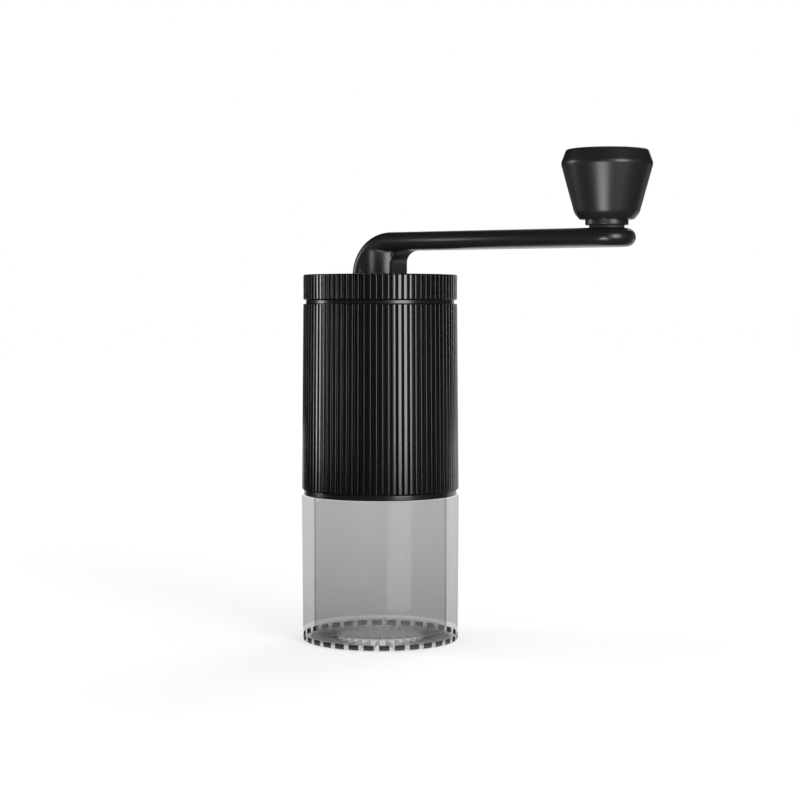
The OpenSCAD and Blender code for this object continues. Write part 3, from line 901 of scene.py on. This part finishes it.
def painted_dash_shade(kit):
    """Short radial dashes of painted shade on a ring of the floor, two to each pitch."""
    # Painted shade: dark dashes above the notch walls that lie below the floor.
    ring = kit.reach.between(0.0145, 0.0152) * (1 - kit.reach.between(0.0205, 0.0215))
    return ring * (1 - (kit.off_block - 0.17).math("ABSOLUTE").between(0.04, 0.09))


print("three marks: windows, floor and dashes")

# %% [markdown]
# Clear plastic could be modelled with full refraction. The wall of this jar shows its inner edge
# inside the outer one, with almost no bending, so a see-through surface is closer, and every wall
# that the eye looks through takes away a little light. The walls are painted darker towards the
# foot, which is painted shade, and the inside is painted dark where it is seen edge-on; round the
# solid foot the outer face is made clearer, which is painted light. Only the outer wall has a
# gloss, from a clear coat.

# %% Jar finish
def smoke_with_painted_shade_and_light(kit, facing):
    """How much of the light each surface takes, from 0 to 1, with painted shade and painted light
    in it.
    """
    # Painted shade: the walls are made darker towards the foot.
    low = 1 - kit.z.between(-0.02, 0.05)
    # Painted light: below the jar's floor, where the foot is solid, the outer face is made
    # clearer.
    wall = (0.24 + low * 0.09) * (0.25 + kit.z.between(0.0032, 0.0042) * 0.75)
    # Painted shade: the inside also darkens towards the foot, and turns dark where it is seen
    # edge-on.
    lining_with_painted_shade = 0.1 + low * 0.12 + facing.between(0.72, 1.0) * 0.3
    upright = 1 - kit.flat
    dense = wall * (1 - kit.inner) * upright + lining_with_painted_shade * kit.inner * upright + kit.flat * 0.06
    return dense + painted_window_shade(kit) * 0.9 + painted_floor_light(kit) * 0.55 + kit.noise(0.02) * 0.02


def smoky_clear():
    kit = JarKit("smoky_clear_painted_light_and_shade", Specular_IOR_Level=0.0, Coat_Roughness=0.12, Coat_IOR=1.5)
    kit.zones()
    facing = kit.node("ShaderNodeLayerWeight", {}, {"Blend": 0.5}, output="Facing")
    smoke = kit.blend(kit.noise(0.015), grey(0.02), grey(0.03))
    # Painted light and shade: a pale floor disc with dark dashes on it.
    painted_floor_tone = kit.blend(painted_dash_shade(kit), grey(0.8), grey(0.2))
    kit.feed("Base Color", kit.blend(painted_floor_light(kit), smoke, painted_floor_tone))
    kit.feed("Roughness", 0.3 + kit.noise(0.02) * 0.1)
    kit.feed("Coat Weight", ((1 - kit.inner) * (1 - facing.between(0.3, 0.8))).clamped())
    kit.bump(kit.noise(0.006, detail=1.0), 0.03, 0.0001)
    clear = kit.node("ShaderNodeBsdfTransparent", {}, {"Color": grey(0.97)})
    body = Value(kit, kit.shader.outputs[0])
    dense = smoke_with_painted_shade_and_light(kit, facing).clamped()
    mixed = kit.node("ShaderNodeMixShader", {}, {0: dense, 1: clear, 2: body})
    kit.tree.links.new(mixed.socket, kit.output.inputs["Surface"])
    return kit.material


clear_plastic = smoky_clear()
jar.data.materials.append(clear_plastic)
print("finish:", clear_plastic.name)

# %% [markdown]
# ## The working parts
#
# Races, balls, shaft, clips and screws are ground steel, and the burrs are hardened
# steel with grinding marks. Bare steel is metallic: its colour is the colour of its
# reflections. Fine marks that follow the height break them up, as turning does.

# %% Steel
def steel_finish(name, level, gloss, mark, mark_depth):
    """Machined steel: fine turning marks that follow the height, and a few cloudy stains."""
    kit = Kit(name, Metallic=1.0)
    marks = kit.noise(mark, detail=2.0, stretch=(0.2, 0.2, 3.0))
    stains = kit.noise(0.006)
    kit.feed("Base Color", kit.blend(stains, grey(level * 0.85), grey(level * 1.05)))
    kit.feed("Roughness", (gloss + marks * 0.12 + (stains - 0.5) * 0.1).clamped())
    kit.bump(marks, 0.3, mark_depth)
    return kit.material


ground_steel = steel_finish("ground_steel", 0.62, 0.2, 0.0006, 0.000006)
burr_steel = steel_finish("burr_steel", 0.42, 0.32, 0.0004, 0.00001)
print("finishes:", ground_steel.name, burr_steel.name)

# %% [markdown]
# Brackets, dial and bushes are dark moulded polymer, and the seals and the washer
# are silicone rubber, which is dull and a little dusty. They show only when the
# lid or the jar is off, so one noise each is enough.

# %% Polymer and rubber
def rubber_finish():
    kit = Kit("black_silicone", IOR=1.43)
    dusty = kit.noise(0.002)
    kit.feed("Base Color", kit.blend(dusty, grey(0.02), grey(0.035)))
    kit.feed("Roughness", 0.55 + dusty * 0.15)
    kit.bump(dusty, 0.1, 0.00003)
    return kit.material


polymer = black_finish("dark_polymer", 0.035, 0.48, 0.0007, 0.00002, wear=0.1)
silicone = rubber_finish()
print("finishes:", polymer.name, silicone.name)

# %% [markdown]
# The CAD pieces inside already have their true shape, so they only take a finish.
# The record names a material slot for each, and a table says which finish fills it.

# %% Finish every CAD piece
SLOT_FINISH = {
    "bright_steel": ground_steel,
    "burr_steel": burr_steel,
    "inner_polymer": polymer,
    "silicone": silicone,
    "collar_black": collar_finish,
    "ribbed_black": anodised,
    "arm_black": coated,
    "knob_black": moulded,
    "jar_clear": clear_plastic,
}
for part in frame["record"]["subparts"]:
    node = frame["nodes"][part["node"]]
    node.data.materials.clear()
    node.data.materials.append(SLOT_FINISH[part["material_slot"]])
frame["nodes"]["knob_washer"].data.materials[0] = silicone
print("finished", len(frame["nodes"]), "CAD nodes")

# %% [markdown]
# ## Studio floor
#
# A pale floor stands in a white surround. Its own white is given only to the rays
# that look at it, so it never lights the grinder, and the lamps still draw the
# shadow on it. It glows a little stronger far out, where the lamps fade.

# %% Floor
FLOOR_GLOW, FAR_GLOW, FAR = 0.5, 0.72, 1.5
SEEING_RAYS = ("Is Camera Ray", "Is Glossy Ray", "Is Transmission Ray")


def seen_rays(tree):
    """1 for camera, glossy and transmission rays, which all see the white surround."""
    camera_ray, glossy, through = (
        tree.node("ShaderNodeLightPath", output=label) for label in SEEING_RAYS)
    return (camera_ray + glossy + through).clamped()


def floor_finish():
    """Pale, with its own white towards the camera, a little stronger far out."""
    kit = Kit("pale_floor", Roughness=0.9, Specular_IOR_Level=0.1, Emission_Strength=1.0)
    kit.feed("Base Color", kit.blend(kit.noise(0.05), grey(0.8), grey(0.84)))
    away = kit.node("ShaderNodeVectorMath", {"operation": "LENGTH"}, {0: kit.place()},
                    output="Value")
    glow = kit.blend(away.between(0.0, FAR), grey(FLOOR_GLOW), grey(FAR_GLOW))
    kit.feed("Emission Color", kit.blend(seen_rays(kit), grey(0.0), glow))
    return kit.material


def plate(name, size, segments=64):
    """A flat round plate at the height of the jar's foot."""
    bm = bmesh.new()
    bmesh.ops.create_circle(bm, cap_ends=True, segments=segments, radius=size)
    mesh = bpy.data.meshes.new(name)
    bm.to_mesh(mesh)
    bm.free()
    made = bpy.data.objects.new(name, mesh)
    scene.collection.objects.link(made)
    return made


floor = plate("floor", 4.0)
floor.location.z = cad_box[0].z - 0.0002
floor.data.materials.append(floor_finish())
print("floor at z", round(floor.location.z / MM, 2), "mm")

# %% [markdown]
# The world is the white room round the table. Seen directly or in a reflection it
# is plain white, and as a light it is much weaker, so that black pieces stay black
# and the soft boxes draw the shapes.

# %% World
world = bpy.data.worlds.new("white_surround")
world.use_nodes = True
scene.world = world
ROOM_LIGHT, ROOM_SEEN = 0.35, 1.0
room = Tree(world.node_tree)
strength = seen_rays(room) * (ROOM_SEEN - ROOM_LIGHT) + ROOM_LIGHT
background = room.tree.nodes["Background"]
background.inputs["Color"].default_value = grey(1.0)
room.tree.links.new(strength.socket, background.inputs["Strength"])
print("the room gives", ROOM_LIGHT, "as a light and", ROOM_SEEN, "when seen")

# %% [markdown]
# ## Dark cards
#
# Black gloss shows whatever stands in front of it, and in a white room it would
# turn grey. So black cards stand beside the camera, as in a real studio: one bent
# round the grinder and one flat on the table. They are seen only in reflections.

# %% Dark cards
def only_reflected(piece):
    """Hides a piece from every ray but the glossy ones."""
    for ray in ("camera", "diffuse", "shadow", "transmission", "volume_scatter"):
        setattr(piece, "visible_" + ray, False)


def dark_card(name, rows, turns):
    """A black card round the grinder: rows of (distance, height), over a range of turns."""
    bm = bmesh.new()
    steps = 24
    start, end = (CAMERA_TURN + math.radians(t) for t in turns)
    lines = []
    for distance, height in rows:
        spots = [around(start + (end - start) * k / steps, distance, height)
                 for k in range(steps + 1)]
        lines.append([bm.verts.new(s) for s in spots])
    for low, high in zip(lines, lines[1:]):
        for k in range(steps):
            bm.faces.new([low[k], low[k + 1], high[k + 1], high[k]])
    mesh = bpy.data.meshes.new(name)
    bm.to_mesh(mesh)
    bm.free()
    card = bpy.data.objects.new(name, mesh)
    only_reflected(card)
    scene.collection.objects.link(card)
    card.data.materials.append(felt)


felt_kit = Kit("black_felt", Roughness=1.0, Specular_IOR_Level=0.0)
felt_kit.feed("Base Color", felt_kit.blend(felt_kit.noise(0.1), grey(0.003), grey(0.006)))
felt = felt_kit.material
WALL = ((1.2, 0.0), (1.2, 1.4), (0.5, 1.9))
dark_card("wall_card", WALL, (-175, 150))
dark_card("floor_card", ((0.0275, 0.0005), (0.06, 0.002), (1.2, 0.002)), (-150, 120))
print("cards: wall and floor")

# %% [markdown]
# ## Soft boxes
#
# A tall soft box stands to the right of the camera, a second far round to the left,
# and a broad one hangs above. Small lamps, each kept to a few pieces, add the soft
# stripes on the knob, the arm, the hub and the jar. Larger boxes could give them
# too, but would also brighten the ribs.

# %% Lamps
def soft_box(name, turn, distance, height, size, watts, aim=(0, 0, 0.08)):
    """A rectangular lamp aimed at a point of the grinder; its turn counts from the camera."""
    data = bpy.data.lights.new(name, "AREA")
    data.shape = "RECTANGLE"
    data.size, data.size_y = size
    data.energy = watts
    lamp = bpy.data.objects.new(name, data)
    lamp.location = around(CAMERA_TURN + math.radians(turn), distance, height)
    sight = Vector(aim) - lamp.location
    lamp.rotation_mode = "QUATERNION"
    lamp.rotation_quaternion = sight.to_track_quat("-Z", "Y")
    lamp.visible_camera = False
    scene.collection.objects.link(lamp)
    return lamp


def lights_only(lamp, *pieces):
    """Keeps a small lamp to some pieces, as a flag on a stand would."""
    group = bpy.data.collections.new(lamp.name + "_pieces")
    for piece in pieces:
        group.objects.link(piece)
    lamp.light_linking.receiver_collection = group


KNOB_MIDDLE = (knob_x * MM, 0, (knob_low + knob_high) / 2 * MM)
ARM_MIDDLE = (knob_x * MM * 0.26, 0, (arm_low + arm_top) / 2 * MM)
HUB_FOOT = (0, 0, hub_low * MM)
JAR_MIDDLE = (0, 0, 0.03)
soft_box("key_box", 33, 0.8, 0.2, (0.36, 0.42), 4.5)
soft_box("left_box", -103, 0.8, 0.2, (0.14, 0.5), 2.2)
soft_box("top_box", 150, 0.9, 0.9, (0.5, 0.5), 2)
knob_box = soft_box("knob_box", -1, 0.249, 0.03, (0.1, 0.07), 0.3, aim=KNOB_MIDDLE)
arm_box = soft_box("arm_box", -34.3, 0.069, 0.1333, (0.01, 0.02), 0.0075, aim=ARM_MIDDLE)
hub_box = soft_box("hub_box", 118, 0.4, 0.12, (0.25, 0.25), 0.05, aim=HUB_FOOT)
jar_box = soft_box("jar_box", 24, 0.09, 0.03, (0.05, 0.056), 0.045, aim=JAR_MIDDLE)
lights_only(knob_box, knob, cap, arm)
lights_only(arm_box, arm)
lights_only(hub_box, arm)
lights_only(jar_box, jar)

# %% [markdown]
# ## View transform
#
# The looks must not change the size of the part; the box of the CAD model is printed where the
# frame is loaded. Here the scene takes the standard view transform.

# %% Set the view transform
scene.view_settings.view_transform = "Standard"
